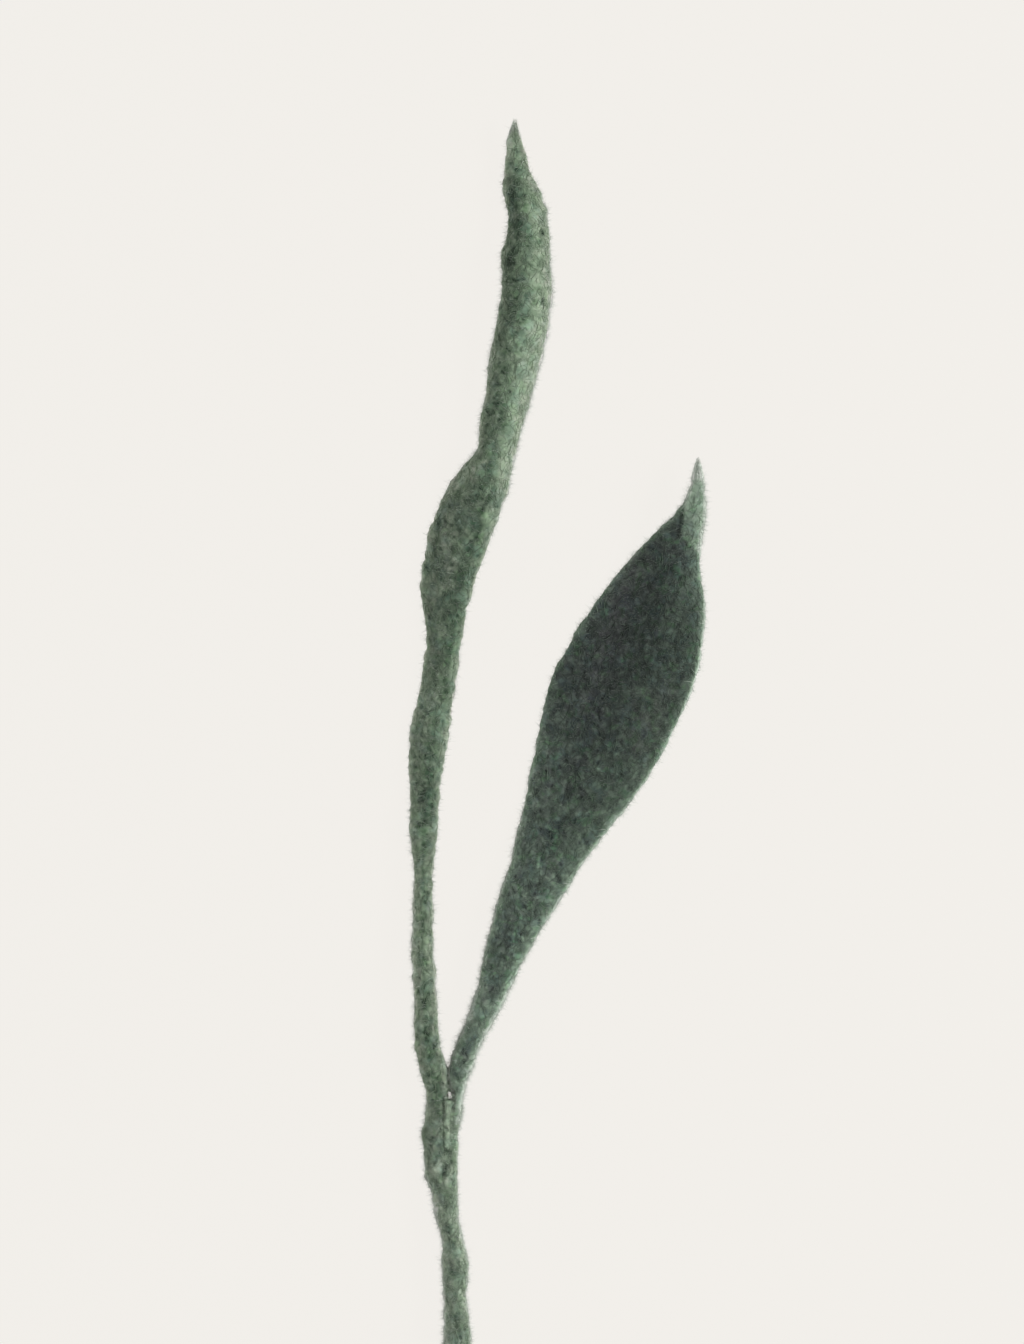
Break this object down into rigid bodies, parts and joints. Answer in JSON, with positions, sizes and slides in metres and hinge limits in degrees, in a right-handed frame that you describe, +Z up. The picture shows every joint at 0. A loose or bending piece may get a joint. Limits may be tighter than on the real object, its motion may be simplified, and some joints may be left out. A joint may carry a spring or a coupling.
{
  "type": "felt leaf stem",
  "caption": "Handmade decorative spray lying flat: a felted wool stem on wires that forks into a long narrow leaf and a broad pointed leaf.",
  "frame": {"origin": "middle of the spray's box at the surface that it lies on", "axes": "+Y along the stem from its cut end to the tall leaf's tip, +X to the side of the broad leaf, +Z up from the surface"},
  "size_m": [0.0681, 0.3805, 0.0122],
  "materials": {
    "sage_felt": "matted wool felt, grey-green, fuzzy",
    "dark_sage_felt": "matted wool felt, dark grey-green with paler edges",
    "stem_felt": "wool wrapped and felted over wire, pale grey-green, lumpy",
    "armature_wire": "annealed florist's wire, dull grey"
  },
  "bodies": {
    "root": {"tall_leaf": "sage_felt", "broad_leaf": "dark_sage_felt", "stem": "stem_felt", "tall_leaf_wire": "armature_wire", "broad_leaf_wire": "armature_wire"}
  },
  "joints": []
}
